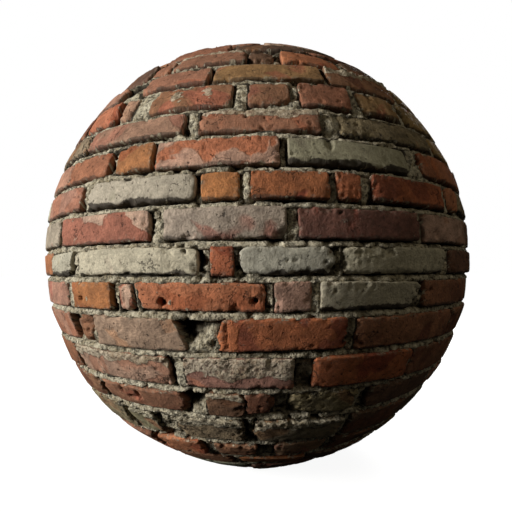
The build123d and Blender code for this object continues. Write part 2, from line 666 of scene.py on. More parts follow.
LAID: dict[int, tuple[Brick, ...]] = {
    3: (
        Brick(-34, -9, Clay.RED_BROWN, worn=0.6),
        Brick(-7, 17, Clay.ORANGE_TAN, worn=0.5),
        Brick(19, 44, Clay.DARK_BROWN, worn=0.5),
    ),
    4: (
        Brick(-60, -35, Clay.RED_BROWN, Joint.DEEP, worn=0.5),
        Brick(-33, -17, Clay.ORANGE, worn=0.6),
        Brick(-13, -0.5, Clay.RED_BROWN, Joint.DEEP, worn=0.6),
        Brick(5, 21, Clay.ROSE, worn=0.7),
        Brick(23, 48, Clay.DARK_BROWN, worn=0.5),
    ),
    5: (
        Brick(-62, -39, Clay.GREY_TAN, worn=0.6),
        Brick(-37, -27, Clay.GREY_TAN, Joint.DEEP, worn=0.8, ragged=(3, 4), smear=0.2),
        Brick(-22, -3.4, Clay.GREY_TAN, Joint.DEEP, worn=0.9, ragged=(6, 6), smear=0.2),
        Brick(-0.8, 22, Clay.GREY_TAN, worn=0.9, ragged=(6, 3), smear=0.25),
        Brick(24, 50, Clay.DARK_BROWN, worn=0.6),
    ),
    6: (
        Brick(-68, -44, Clay.RED_BROWN, Joint.DEEP, worn=0.5),
        Brick(-42, -15.8, Clay.RED_ROSE, Joint.HEAPED, worn=0.7, ragged=(2, 6)),
        Brick(-11.3, -3.1, Clay.DARK_BROWN, Joint.DEEP, worn=0.6, ragged=(2, 4), smear=0.1),
        Brick(-2.6, 3.2, Clay.RED_BROWN, Joint.DEEP, worn=0.9, ragged=(5, 5)),
        Brick(6.8, 23, Clay.GREY_TAN, Joint.DEEP, worn=0.8, ragged=(3, 6)),
        Brick(26, 51, Clay.DARK_BROWN, worn=0.6),
    ),
    7: (
        Brick(-72, -49, Clay.RED_BROWN, Joint.DEEP, worn=0.5),
        Brick(-47.5, -17.6, Clay.TAN, worn=0.6, ragged=(2, 3), smear=0.2),
        Brick(-14.6, 7.2, Clay.ROSE, Joint.DEEP, worn=0.4, smear=0.5, ragged=(3, 1)),
        Brick(11, 34.5, Clay.RED_ORANGE, worn=0.35),
        Brick(35.4, 59, Clay.RED_BROWN, worn=0.5),
    ),
    8: (
        Brick(-70, -44, Clay.ROSE, Joint.DEEP, worn=0.4, lean=(0, -14), ragged=(0, 2)),
        Brick(-40.3, -36.6, Clay.RED_BROWN, worn=0.7, ragged=(3, 3), proud=-3),
        Brick(-35, -14.2, Clay.TAN, Joint.HEAPED, worn=0.35, lean=(4, -20), ragged=(1, 3)),
        Brick(-7, 16.7, Clay.RED_ORANGE, worn=0.6, lean=(8, 0), ragged=(2, 4)),
        Brick(18.6, 48, Clay.RED_BROWN, worn=0.45, ragged=(2, 3)),
        Brick(49.5, 72, Clay.RED_BROWN),
    ),
    9: (
        Brick(-69, -43.4, Clay.ROSE, worn=0.4),
        Brick(-41.4, -28.6, Clay.ORANGE_TAN, worn=0.25),
        Brick(-26.6, -23.3, Clay.FLAKED_ROSE, worn=0.6),
        Brick(-22.3, 1.4, Clay.ORANGE, Joint.DEEP, worn=0.5, lean=(-14, 0), ragged=(1, 1)),
        Brick(3.0, 9.4, Clay.SPALLED, worn=0.3),
        Brick(11.1, 32, Clay.GREY_WHITE, Joint.DEEP, worn=0.4, lean=(0, 12), ragged=(1, 7)),
        Brick(34.6, 58, Clay.RED_BROWN, worn=0.3),
    ),
    10: (
        Brick(-72, -51.6, Clay.ORANGE),
        Brick(-50.8, -40.6, Clay.CREAM, worn=0.45, lean=(0, 9), trim=(1, 0)),
        Brick(-38.0, -10.2, Clay.CREAM, Joint.DEEP, worn=0.6, trim=(0, 0.5)),
        Brick(-8.0, -3.9, Clay.RED_ORANGE, worn=0.3, trim=(-2, -1)),
        Brick(-3.0, 13.6, Clay.GREY_WHITE, worn=0.9, trim=(0, 1)),
        Brick(15.0, 41.6, Clay.GREY_WHITE, worn=0.85),
        Brick(43.6, 66, Clay.DARK_BROWN, worn=0.4),
    ),
    11: (
        Brick(-68, -46.9, Clay.MAUVE, worn=0.4),
        Brick(-44.2, -19.6, Clay.FLAKED_ROSE, worn=0.25),
        Brick(-16.6, 5.0, Clay.MAUVE, Joint.DEEP, worn=0.55),
        Brick(7.2, 32, Clay.PLUM, worn=0.35),
        Brick(33.6, 57, Clay.TAN, worn=0.4),
    ),
    12: (
        Brick(-62, -38.4, Clay.ROSE, Joint.DEEP, worn=0.4),
        Brick(-35.5, -10.7, Clay.CREAM, Joint.DEEP, worn=0.75),
        Brick(-9.8, -3.0, Clay.ORANGE_TAN, worn=0.35),
        Brick(-0.9, 13.0, Clay.RED_ORANGE, worn=0.25),
        Brick(14.3, 19.3, Clay.RED_ORANGE, Joint.DEEP, worn=0.4),
        Brick(21.6, 43, Clay.RED_ORANGE, worn=0.3),
        Brick(45, 50.5, Clay.ORANGE, worn=0.5),
        Brick(52, 74, Clay.GREY_TAN),
    ),
    13: (
        Brick(-70, -47.3, Clay.ROSE, worn=0.4),
        Brick(-46.6, -31.4, Clay.ORANGE, Joint.DEEP, worn=0.5, ragged=(1, 4)),
        Brick(-29.1, -20.2, Clay.ORANGE_TAN, worn=0.3),
        Brick(-19.4, 4.2, Clay.SPALLED, Joint.DEEP, worn=0.25),
        Brick(5.8, 32.3, Clay.LIME_GREEN, worn=0.25, trim=(0, 1)),
        Brick(36.6, 60, Clay.ORANGE, worn=0.5, ragged=(4, 0)),
    ),
    14: (
        Brick(-66, -42.6, Clay.GREY_TAN, worn=0.5),
        Brick(-41.4, -14.6, Clay.ROSE, worn=0.3),
        Brick(-11.6, 13.0, Clay.RED_ROSE, worn=0.45, smear=0.2),
        Brick(17.0, 45, Clay.GREY_TAN, worn=0.5),
        Brick(47, 68, Clay.OLIVE_TAN),
    ),
    15: (
        Brick(-74, -51, Clay.RED_BROWN),
        Brick(-49, -35.6, Clay.ORANGE, Joint.DEEP, worn=0.6, ragged=(0, 4)),
        Brick(-34, -29.8, Clay.ROSE, worn=0.8, ragged=(2, 2)),
        Brick(-24.6, -5.2, Clay.RED_ROSE, worn=0.5),
        Brick(-1.6, 7.4, Clay.RED_BROWN, worn=0.5),
        Brick(9.6, 22, Clay.RED_BROWN, worn=0.35),
        Brick(24.4, 36.2, Clay.OLIVE_TAN, worn=0.7),
        Brick(38.5, 62, Clay.OLIVE_TAN, worn=0.5),
    ),
    16: (
        Brick(-66, -41, Clay.ROSE, Joint.HEAPED, worn=0.6),
        Brick(-31.4, -11.9, Clay.RED_ROSE, Joint.DEEP, worn=0.4),
        Brick(-10.6, 17.0, Clay.OLIVE_TAN, worn=0.3),
        Brick(18.4, 42, Clay.RED_BROWN, worn=0.4, smear=0.3),
        Brick(44, 68, Clay.OLIVE_TAN),
    ),
    17: (
        Brick(-58, -35, Clay.DARK_BROWN),
        Brick(-33.5, -26.3, Clay.RED_ROSE, worn=0.6),
        Brick(-25, -2.6, Clay.RED_ROSE, worn=0.5, smear=0.1),
        Brick(-1.8, 5.4, Clay.DARK_BROWN, Joint.DEEP, worn=0.8),
        Brick(7.6, 26.6, Clay.ORANGE, worn=0.5),
        Brick(29, 53, Clay.DARK_BROWN, worn=0.5),
    ),
    18: (
        Brick(-34, -9, Clay.RED_BROWN, worn=0.5),
        Brick(-7, 18, Clay.DARK_BROWN, worn=0.5),
        Brick(20, 46, Clay.RED_ROSE, worn=0.5),
    ),
}

COMMON = (
    (Clay.ROSE, 16),
    (Clay.FLAKED_ROSE, 4),
    (Clay.RED_ROSE, 14),
    (Clay.ORANGE, 12),
    (Clay.ORANGE_TAN, 7),
    (Clay.RED_ORANGE, 10),
    (Clay.RED_BROWN, 12),
    (Clay.SPALLED, 4),
    (Clay.TAN, 7),
    (Clay.OLIVE_TAN, 5),
    (Clay.GREY_TAN, 6),
    (Clay.MAUVE, 5),
    (Clay.PLUM, 5),
    (Clay.DARK_BROWN, 4),
    (Clay.CREAM, 7),
    (Clay.GREY_WHITE, 3),
    (Clay.LIME_GREEN, 7),
)


@dataclass
class Bond:
    """Chooses the bricks that go round the ball behind those that are listed."""

    ball: Ball
    joint: float = 11.0
    stretcher: float = 26.0
    shortest: float = 165.0

    def round_course(self, number: int, draws: np.random.Generator) -> list[Brick]:
        """Lays one whole course.

        Args:
            number: The course, counted from the foot.
            draws: Seeded random numbers.

        Returns:
            The course's bricks, from the first listed one and on round the ball.
        """
        middle = (self.ball.beds[number - 1] + self.ball.beds[number]) / 2
        degree = self.ball.degree(middle)
        laid = list(LAID.get(number, ()))
        start = laid[-1].right if laid else draws.uniform(-180, 180)
        end = laid[0].left + 360 if laid else start + 360
        full = max(self.stretcher, self.shortest / degree)
        gap = self.joint / degree
        space = end - start - gap
        widths: list[float] = []
        while sum(widths) + len(widths) * gap < space - 0.35 * full:
            share = draws.choice([1.0, 0.92, 0.72, 0.5, 0.3], p=[0.45, 0.17, 0.12, 0.16, 0.1])
            widths.append(full * share * draws.uniform(0.95, 1.05))
        scale = (space - len(widths) * gap) / sum(widths)
        place = start + gap
        for width in widths:
            laid.append(self.chosen(place, place + width * scale, draws))
            place += width * scale + gap
        return laid

    def chosen(self, left: float, right: float, draws: np.random.Generator) -> Brick:
        """Picks what one brick is like.

        Args:
            left: Longitude of its left end.
            right: Longitude of its right end.
            draws: Seeded random numbers.

        Returns:
            The brick.
        """
        kinds, weights = zip(*COMMON)
        clay = kinds[draws.choice(len(kinds), p=np.array(weights) / sum(weights))]
        after = draws.choice(list(Joint), p=[0.66, 0.28, 0.06])
        worn = float(np.clip(draws.normal(0.45, 0.17), 0.2, 0.9))
        broken = draws.uniform(0, 6, 2) * (draws.uniform(size=2) < 0.33)
        lean = draws.normal(0, 2.5, 2) + draws.normal(0, 9, 2) * (broken > 3)
        smear = draws.uniform(0.15, 0.5) if draws.uniform() < 0.13 else 0.0
        crack = left + (right - left) * draws.uniform(0.3, 0.7)
        cracks = (crack,) if draws.uniform() < 0.1 and right - left > 15 else ()
        trim = (max(draws.normal(0, 1.5), 0), max(draws.normal(0, 1.5), 0))
        return Brick(left, right, clay, after, worn, tuple(lean), tuple(broken), trim, smear, 0.0, cracks)


def pieces_of(brick: Brick, crack_width: float = 0.16) -> list[Brick]:
    """Splits a brick at its cracks.

    Args:
        brick: The brick.
        crack_width: Width of a crack, in degrees of longitude.

    Returns:
        Its pieces from left to right, or the brick itself if it is whole.
    """
    ends = [brick.left, *brick.cracks, brick.right]
    made = []
    for number, (left, right) in enumerate(zip(ends, ends[1:])):
        first, last = number == 0, number == len(ends) - 2
        lean = (brick.lean[0] if first else 5.0, brick.lean[1] if last else 5.0)
        ragged = (brick.ragged[0] if first else 3.0, brick.ragged[1] if last else 3.0)
        left += 0 if first else crack_width / 2
        right -= 0 if last else crack_width / 2
        worn = brick.worn if first and last else brick.worn * 0.7
        piece = Brick(
            left, right, brick.clay, brick.after, worn, lean, ragged, brick.trim, brick.smear, brick.proud
        )
        made.append(piece)
    return made


# ---------------------------------------------------------------- mortar


@dataclass
class MortarMaker:
    """Shapes the mortar: a rope of it in every bed joint, a plug between bricks, and the fill inside."""

    ball: Ball
    step: float = 4.3
    recess: float = 5.0
    depth: float = 24.0
    lap: float = HALF_JOINT
    fill_depth: float = 27.0
    across: tuple[float, ...] = (-10.0, -6.2, -2.3, 1.8, 3.6, 6.2, 10.0)
    edge: float = 6.8
    shape: Noise = field(default_factory=lambda: Noise(37))
    holes: Noise = field(default_factory=lambda: Noise(41))

    def level(self, spot: Array) -> Array:
        """How far the mortar's surface stands from the ball's.

        Args:
            spot: Places in space, one row each.

        Returns:
            Millimetres outwards, negative under the ball's surface.
        """
        out = -self.recess + 2.0 * self.shape.at(spot, 110) + 2.2 * self.shape.rough(spot + 70, 20, 2)
        out += 1.4 * self.shape.rough(spot + 170, 9, 2)
        return out - 8 * smooth(self.holes.rough(spot, 20, 2), 0.30, 0.60)

    def bed(self, lat: float) -> Shell:
        """Lays one bed joint.

        Args:
            lat: The joint's latitude.

        Returns:
            A closed ring of mortar.
        """
        count = max(int(2 * math.pi * self.ball.radius * math.cos(math.radians(lat)) / self.step), 48)
        rows = len(self.across)
        lon, side = np.meshgrid(np.arange(count) * 360 / count, self.across, indexing="ij")
        lon, side = lon.ravel(), side.ravel()
        spot = self.ball.on(lon, lat + side / self.ball.degree())
        out = self.level(spot)
        under = smooth(self.holes.at(spot + 900, 65), -0.5, 0.15)
        out = out - under * (11.0 * (side > 3) + 2.0 * ((side > 0) & (side <= 3)))
        out = np.where(side < 0, out + 1.5, out)
        out = np.where(np.abs(side) > 8, out - 6, out)
        side = side + 1.6 * self.shape.rough(spot + 500, 18, 2)
        top = self.ball.on(lon, lat + side / self.ball.degree(), out).reshape(count, rows, 3)
        keel = self.ball.on(lon[::rows], np.full(count, lat), -self.depth)[:, None]
        points = np.concatenate([top, keel], axis=1)
        index = np.arange(count * (rows + 1)).reshape(count, rows + 1)
        ahead = np.roll(index, -1, axis=0)
        corners = (index, ahead, np.roll(ahead, -1, axis=1), np.roll(index, -1, axis=1))
        quads = np.stack(corners, axis=-1).reshape(-1, 4)
        dip = np.concatenate([-out.reshape(count, rows), np.full((count, 1), self.depth)], axis=1)
        near = self.edge - np.maximum(side, -0.6 * side).reshape(count, rows)
        rim = np.concatenate([near, np.zeros((count, 1))], axis=1)
        return self.dressed(points.reshape(-1, 3), quads, np.empty((0, 3), int), dip.ravel(), rim.ravel())

    def plug(self, left: float, right: float, low: float, high: float, joint: Joint) -> Shell:
        """Fills the joint between two bricks of a course.

        Args:
            left: Longitude where the joint begins.
            right: Longitude where it ends.
            low: Latitude of the course's lower bed.
            high: Latitude of its upper bed.
            joint: How it is filled.

        Returns:
            A closed lump of mortar.
        """
        degree = self.ball.degree((low + high) / 2)
        lap = self.lap / degree
        columns = max(int((right - left + 2 * lap) * degree / 4.2), 4)
        rows = max(int((high - low) * self.ball.degree() / 4.4), 6)
        lon, lat = np.meshgrid(
            np.linspace(left - lap, right + lap, columns + 1), np.linspace(low, high, rows + 1)
        )
        lon, lat = lon.ravel(), lat.ravel()
        spot = self.ball.on(lon, lat)
        out = self.level(spot)
        if joint is Joint.DEEP:
            out -= 2 + 7 * smooth(self.holes.rough(spot + 300, 45, 2), -0.3, 0.4)
        if joint is Joint.HEAPED:
            height = (lat - low) / (high - low) + 0.25 * self.shape.rough(spot + 300, 40, 3)
            slope = (lon - left) / (right - left)
            out -= 30 * smooth(height - 0.35 * slope, 0.05, 0.75)
        shaded = smooth(self.holes.at(spot + 900, 50), -0.4, 0.2)
        out -= 8 * shaded * smooth(left * degree + 4.5 - lon * degree, -2, 1)
        squares, border = wrap_grid(rows + 1, columns + 1)
        out[border] -= 5
        top = self.ball.on(lon, lat, out)
        ring = self.ball.on(lon[border], lat[border], -self.depth - 4)
        middle = self.ball.on(lon.mean(keepdims=True), lat.mean(keepdims=True), -self.depth - 4)
        quads, fans = close_grid(squares, border, len(top), 1)
        dip = np.concatenate([-out, np.full(len(border) + 1, self.depth)])
        near = np.minimum(lon - left, right - lon) * degree
        rim = np.concatenate([near, np.zeros(len(border) + 1)])
        return self.dressed(np.concatenate([top, ring, middle]), quads, fans, dip, rim)

    def cap(self, low: float) -> Shell:
        """Closes the pole with a round plug.

        Args:
            low: Latitude where the plug begins.

        Returns:
            A closed lump of mortar.
        """
        turns, rings = 48, 5
        lon, lat = np.meshgrid(np.arange(turns) * 360 / turns, np.linspace(low, 89.4, rings))
        lon, lat = lon.ravel(), lat.ravel()
        out = self.level(self.ball.on(lon, lat))
        out[:turns] -= 5
        top = self.ball.on(lon, lat, out)
        index = np.arange(turns * rings).reshape(rings, turns)
        ahead = np.roll(index, -1, axis=1)
        quads = np.stack([index[:-1], ahead[:-1], ahead[1:], index[1:]], axis=-1).reshape(-1, 4)
        peak, pit = len(top), len(top) + 1
        over = np.stack([index[-1], ahead[-1], np.full(turns, peak)], axis=-1)
        below = np.stack([ahead[0], index[0], np.full(turns, pit)], axis=-1)
        ends = self.ball.on(np.zeros(2), np.full(2, 90.0), np.array([out.mean(), -self.depth]))
        dip = np.concatenate([-out, [-out.mean(), self.depth]])
        return self.dressed(np.concatenate([top, ends]), quads, np.concatenate([over, below]), dip)

    def fill(self, pockets: tuple[Hollow, ...]) -> Shell:
        """Shapes the rough fill that shows at the bottom of open joints.

        Args:
            pockets: Places where it is dug out deeper.

        Returns:
            A closed ball of fill, a little smaller than the brick ball.
        """
        made = bpy.data.meshes.new("fill")
        grown = bmesh.new()
        bmesh.ops.create_icosphere(grown, subdivisions=6, radius=1)
        grown.to_mesh(made)
        grown.free()
        rays = np.array([v.co[:] for v in made.vertices])
        fans = np.array([p.vertices[:] for p in made.polygons])
        bpy.data.meshes.remove(made)
        middle = np.array([0, 0, self.ball.centre])
        out = 3 * self.shape.rough(rays * self.ball.radius, 60, 3) - self.fill_depth
        for pocket in pockets:
            away = rays * self.ball.radius + middle - self.ball.on(pocket.lon, pocket.lat)
            far = np.linalg.norm(away / [pocket.wide, pocket.wide, pocket.high], axis=1)
            out -= pocket.deep * (1 - smooth(far, 0.6, 1.2))
        points = rays * (self.ball.radius + out)[:, None] + middle
        points[:, 2] = np.maximum(points[:, 2], 6.0)
        return self.dressed(points, np.empty((0, 4), int), fans, -out)

    def foot(self) -> Shell:
        """Shapes the flat bed of mortar under the ball, from its underside up to the first course.

        Returns:
            A closed disc of mortar.
        """
        turns, half = 150, self.lap / self.ball.degree()
        first = self.ball.beds[0]
        rim = -math.degrees(math.acos(self.ball.foot / self.ball.radius))
        lift = np.array([0.15, 0.55, 0.95])
        edge_lat = rim + (first + half - rim) * lift
        lon = np.arange(turns) * 360 / turns
        turn = np.radians(lon)
        unit = np.stack([np.sin(turn), -np.cos(turn), 0 * turn], axis=-1)
        rows = [unit * reach for reach in (self.ball.foot * 0.5, self.ball.foot * 0.85, self.ball.foot - 5)]
        for lat in edge_lat:
            spot = self.ball.on(lon, np.full(turns, lat))
            rows.append(self.ball.on(lon, np.full(turns, lat), 0.4 * self.level(spot)))
        rows.append(self.ball.on(lon, np.full(turns, first + half), -self.depth))
        index = np.arange(turns * len(rows)).reshape(len(rows), turns)
        ahead = np.roll(index, -1, axis=1)
        quads = np.stack([index[:-1], ahead[:-1], ahead[1:], index[1:]], axis=-1).reshape(-1, 4)
        base, top = turns * len(rows), turns * len(rows) + 1
        under = np.stack([ahead[0], index[0], np.full(turns, base)], axis=-1)
        over = np.stack([index[-1], ahead[-1], np.full(turns, top)], axis=-1)
        ends = np.array([[0, 0, 0], [0, 0, rows[-1][0, 2]]])
        points = np.concatenate([*rows, ends])
        points[:, 2] = np.maximum(points[:, 2], 0)
        dip = np.full(len(points), self.recess)
        return self.dressed(points, quads, np.concatenate([under, over]), dip)

    def dressed(
        self, points: Array, quads: Array, fans: Array, dip: Array, rim: Array | float = 9.0
    ) -> Shell:
        """Makes a shell of mortar, whose colours come from its material alone.

        Args:
            points: The vertices, in millimetres.
            quads: The squares.
            fans: The triangles.
            dip: How deep each vertex lies.
            rim: How far each vertex is from the nearest brick.

        Returns:
            The shell.
        """
        count, none = len(points), np.zeros((len(points), 4))
        relief = np.stack([rim + np.zeros(count), dip, np.zeros(count)], axis=-1)
        return Shell(
            points / METRE, quads, fans, none, none, none[:, :3], relief, points / METRE
        )


def join_shells(name: str, shells: list[Shell], slots: list[int], body: str = "root") -> bpy.types.Object:
    """Makes one piece of many closed shells, and lets it ride on the ball.

    Args:
        name: The piece's name.
        shells: What it is made of.
        slots: The number of each shell's material.
        body: The body that it moves with.

    Returns:
        The piece, in the scene, with its values for the materials.
    """
    starts = np.cumsum([0] + [len(shell.points) for shell in shells])
    faces, kinds = [], []
    for shell, start, slot in zip(shells, starts, slots):
        faces += (shell.quads + start).tolist() + (shell.fans + start).tolist()
        kinds += [slot] * (len(shell.quads) + len(shell.fans))
    mesh = bpy.data.meshes.new(name)
    mesh.from_pydata(np.concatenate([shell.points for shell in shells]), [], faces)
    for label in ("skin", "body"):
        values = np.concatenate([getattr(shell, label) for shell in shells])
        layer = mesh.attributes.new(label, "FLOAT_COLOR", "POINT")
        layer.data.foreach_set("color", values.astype(np.float32).ravel())
    for label in ("traits", "relief", "place"):
        values = np.concatenate([getattr(shell, label) for shell in shells])
        layer = mesh.attributes.new(label, "FLOAT_VECTOR", "POINT")
        layer.data.foreach_set("vector", values.astype(np.float32).ravel())
    mesh.polygons.foreach_set("material_index", kinds)
    mesh.shade_smooth()
    mesh.update()
    piece = bpy.data.objects.new(name, mesh)
    bpy.context.scene.collection.objects.link(piece)
    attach(piece, body)
    return piece


# ---------------------------------------------------------------- materials


Socket = bpy.types.NodeSocket
Value = Socket | float | tuple[float, ...]


class Graph:
    """Adds nodes to a node tree and joins them up."""

    def __init__(self, tree: bpy.types.NodeTree) -> None:
        """Starts on an empty tree."""
        self.tree = tree
        self.tree.nodes.clear()

    def node(self, kind: str, inputs: dict | None = None, **settings: object) -> bpy.types.Node:
        """Adds one node.

        Args:
            kind: The node's type.
            inputs: A value, or another node's socket, for each input by name or number.
            settings: The node's own properties.

        Returns:
            The node.
        """
        made = self.tree.nodes.new(kind)
        for name, value in settings.items():
            setattr(made, name, value)
        for key, value in (inputs or {}).items():
            if isinstance(value, bpy.types.NodeSocket):
                self.tree.links.new(value, made.inputs[key])
            else:
                made.inputs[key].default_value = value
        return made

    def math(self, how: str, first: Value, second: Value = 0.0, clamp: bool = False) -> Socket:
        """Joins two numbers by arithmetic."""
        return self.node("ShaderNodeMath", {0: first, 1: second}, operation=how, use_clamp=clamp).outputs[0]

    def add(self, first: Value, second: Value, times: Value = 1.0) -> Socket:
        """Adds a second number, taken so many times, to a first."""
        inputs = {0: second, 1: times, 2: first}
        return self.node("ShaderNodeMath", inputs, operation="MULTIPLY_ADD").outputs[0]

    def ease(self, value: Value, low: Value, high: Value, start: Value = 0.0, end: Value = 1.0) -> Socket:
        """Eases a value between two limits."""
        limits = {"Value": value, "From Min": low, "From Max": high, "To Min": start, "To Max": end}
        return self.node("ShaderNodeMapRange", limits, interpolation_type="SMOOTHSTEP").outputs[0]

    def blend(self, share: Value, first: Value, second: Value, how: str = "MIX") -> Socket:
        """Mixes two colours."""
        inputs = {0: share, 6: first, 7: second}
        return self.node("ShaderNodeMix", inputs, data_type="RGBA", blend_type=how).outputs[2]

    def shade(self, colour: Value, tone: Value) -> Socket:
        """Multiplies a colour by a tone."""
        grey = self.node("ShaderNodeCombineXYZ", {0: tone, 1: tone, 2: tone}).outputs[0]
        return self.blend(1.0, colour, grey, "MULTIPLY")

    def noise(
        self, place: Value, scale: float, detail: float = 4.0, rough: float = 0.55, bend: float = 0.0
    ) -> Socket:
        """Spreads a noise over these places."""
        inputs = {"Vector": place, "Scale": scale, "Detail": detail, "Roughness": rough, "Distortion": bend}
        return self.node("ShaderNodeTexNoise", inputs).outputs[0]

    def value(self, name: str, kind: str = "Vector") -> Socket:
        """Reads one of the values that the meshes carry."""
        return self.node("ShaderNodeAttribute", attribute_name=name).outputs[kind]

    def parts(self, vector: Value) -> bpy.types.NodeOutputs:
        """Splits a vector into its three numbers."""
        return self.node("ShaderNodeSeparateXYZ", {0: vector}).outputs

    def give(self, out: bpy.types.Node, **results: Socket) -> bpy.types.NodeTree:
        """Joins a group's results to its output node.

        Args:
            out: The output node.
            results: The result for each of its inputs.

        Returns:
            The finished tree.
        """
        for label, socket in results.items():
            self.tree.links.new(socket, out.inputs[label])
        return self.tree


def new_group(
    name: str, inputs: dict[str, Value], outputs: dict[str, str]
) -> tuple[Graph, bpy.types.Node, bpy.types.Node]:
    """Starts a node group.

    Args:
        name: The group's name.
        inputs: Each input's usual value; its type follows from the value.
        outputs: Each output's type of socket.

    Returns:
        The graph to fill, the group's input node and its output node.
    """
    tree = bpy.data.node_groups.new(name, "ShaderNodeTree")
    graph = Graph(tree)
    for label, usual in inputs.items():
        kind = "Float" if isinstance(usual, float) else ("Color" if len(usual) == 4 else "Vector")
        socket = tree.interface.new_socket(label, in_out="INPUT", socket_type=f"NodeSocket{kind}")
        socket.default_value = usual
    for label, kind in outputs.items():
        tree.interface.new_socket(label, in_out="OUTPUT", socket_type=f"NodeSocket{kind}")
    return graph, graph.node("NodeGroupInput"), graph.node("NodeGroupOutput")


NOWHERE = (0.0, 0.0, 0.0)
WHITE = (1.0, 1.0, 1.0, 1.0)
# Colour that damp stains and the painted shade of deep places are multiplied by.
DAMP_AND_SHADE = (0.30, 0.26, 0.22, 1)
DUST = (0.36, 0.31, 0.24, 1)
BARE_CLAY = (0.17, 0.115, 0.08, 1)
# Dark of the grime and painted shade along the foot of each brick.
GRIME_AND_SHADE = (0.045, 0.035, 0.027, 1)
GAP_SHADE = (0.025, 0.02, 0.015, 1)


def make_grit() -> bpy.types.NodeTree:
    """Builds the group for sandy grain, with pits and hairlines.

    Returns:
        A group that gives a tone to multiply by, the pits and a height.
    """
    inputs = {"Place": NOWHERE, "Coarseness": 1.0}
    graph, given, out = new_group("grit", inputs, {"Tone": "Float", "Pits": "Float", "Height": "Float"})
    scaled = {0: given.outputs["Place"], "Scale": given.outputs["Coarseness"]}
    place = graph.node("ShaderNodeVectorMath", scaled, operation="SCALE").outputs[0]
    coarse = graph.noise(place, 105, 6, 0.72)
    fine = graph.noise(place, 330, 3, 0.6)
    pits = graph.ease(graph.noise(place, 125, 3, 0.5), 0.65, 0.71)
    tone = graph.add(graph.ease(fine, 0.3, 0.7, -0.15, 0.15), graph.ease(coarse, 0.3, 0.7, 0.80, 1.20))
    fold = graph.math("ABSOLUTE", graph.math("SUBTRACT", graph.noise(place, 13, 5, 0.6), 0.5))
    where = graph.ease(graph.noise(place, 21, 3), 0.57, 0.62)
    lines = graph.math("MULTIPLY", graph.ease(fold, 0.010, 0.003), where)
    pits = graph.math("MAXIMUM", pits, lines)
    height = graph.add(graph.add(coarse, fine, 0.5), pits, -0.6)
    return graph.give(out, Tone=tone, Pits=pits, Height=height)


def make_weathering_and_shade() -> bpy.types.NodeTree:
    """Builds the group for damp, dust near the arrises, and painted shade in what lies deep.

    Returns:
        A group that gives the weathered and shaded colour, and where damp and painted shade darken it.
    """
    inputs = {"Colour": WHITE, "Place": NOWHERE, "Rim": 9.0, "Dip": 0.0, "Soot": 1.0}
    graph, given, out = new_group("weathering_and_shade", inputs, {"Colour": "Color", "Mask": "Float"})
    place, dip = given.outputs["Place"], given.outputs["Dip"]
    blotch = graph.noise(place, 22, 5, 0.6, 0.6)
    # Painted shade: the deeper a place lies, the darker it is painted.
    sunk = graph.ease(graph.add(dip, graph.noise(place, 90, 4), 5.0), 5.0, 19.0)
    damp = graph.ease(blotch, 0.52, 0.78, 0.0, 0.45)
    mask = graph.math("MAXIMUM", sunk, damp)
    mask = graph.math("MULTIPLY", mask, given.outputs["Soot"], clamp=True)
    dark = graph.blend(1.0, given.outputs["Colour"], DAMP_AND_SHADE, "MULTIPLY")
    # Painted shade, darker still: down to a fifth from 8 to 13 mm deep.
    dark = graph.shade(dark, graph.ease(dip, 8.0, 13.0, 1.0, 0.2))
    dusty = graph.ease(graph.noise(place, 130, 4, 0.65), 0.50, 0.66)
    near = graph.ease(given.outputs["Rim"], 12.0, 1.0, 0.03, 0.38)
    dust = graph.math("MULTIPLY", dusty, near)
    pale = graph.blend(dust, given.outputs["Colour"], DUST)
    return graph.give(out, Colour=graph.blend(mask, pale, dark), Mask=mask)


def make_mortar_film() -> bpy.types.NodeTree:
    """Builds the group that says where mortar sticks to a brick, smeared on it or along its edges.

    Returns:
        A group that gives the mask of mortar.
    """
    inputs = {"Place": NOWHERE, "Rim": 9.0, "Smear": 0.0, "Spread": 1.0}
    graph, given, out = new_group("mortar_film", inputs, {"Mask": "Float"})
    ragged = graph.noise(given.outputs["Place"], 85, 6, 0.65)
    edge = graph.ease(given.outputs["Rim"], 0.0, 7.0, 0.13, 0.0)
    edge = graph.math("MULTIPLY", edge, given.outputs["Spread"])
    reach = graph.add(edge, given.outputs["Smear"], 0.75)
    return graph.give(out, Mask=graph.ease(graph.add(ragged, reach), 0.66, 0.74))


def make_mortar_colour() -> bpy.types.NodeTree:
    """Builds the group for sandy lime mortar.

    Returns:
        A group that gives the mortar's colour and height.
    """
    inputs = {"Place": NOWHERE, "Lime": (0.68, 0.62, 0.47, 1.0), "Sand": (0.35, 0.29, 0.185, 1.0)}
    graph, given, out = new_group("lime_mortar", inputs, {"Colour": "Color", "Height": "Float"})
    place = given.outputs["Place"]
    broad = graph.noise(place, 14, 4, 0.6)
    lumps = graph.noise(place, 95, 6, 0.7)
    grains = graph.node("ShaderNodeTexVoronoi", {"Vector": place, "Scale": 260.0})
    sandy = graph.ease(graph.add(lumps, broad, 0.5), 0.60, 0.95)
    colour = graph.blend(sandy, given.outputs["Lime"], given.outputs["Sand"])
    # Darker in the grains and crumbled patches that sink in the height below: painted shade in the hollows.
    crumbled = graph.ease(graph.noise(place, 135, 4, 0.62), 0.50, 0.64, 1.03, 0.32)
    speck = graph.math("MULTIPLY", graph.ease(grains.outputs["Distance"], 0.1, 0.6, 0.72, 1.12), crumbled)
    height = graph.add(graph.add(lumps, grains.outputs["Distance"], 0.3), crumbled, 0.5)
    return graph.give(out, Colour=graph.shade(colour, speck), Height=height)


@dataclass(frozen=True)
class Groups:
    """The effects that the materials share."""

    grit: bpy.types.NodeTree
    weathering_and_shade: bpy.types.NodeTree
    film: bpy.types.NodeTree
    mortar: bpy.types.NodeTree

    @classmethod
    def build(cls) -> "Groups":
        """Builds every group once."""
        return cls(make_grit(), make_weathering_and_shade(), make_mortar_film(), make_mortar_colour())


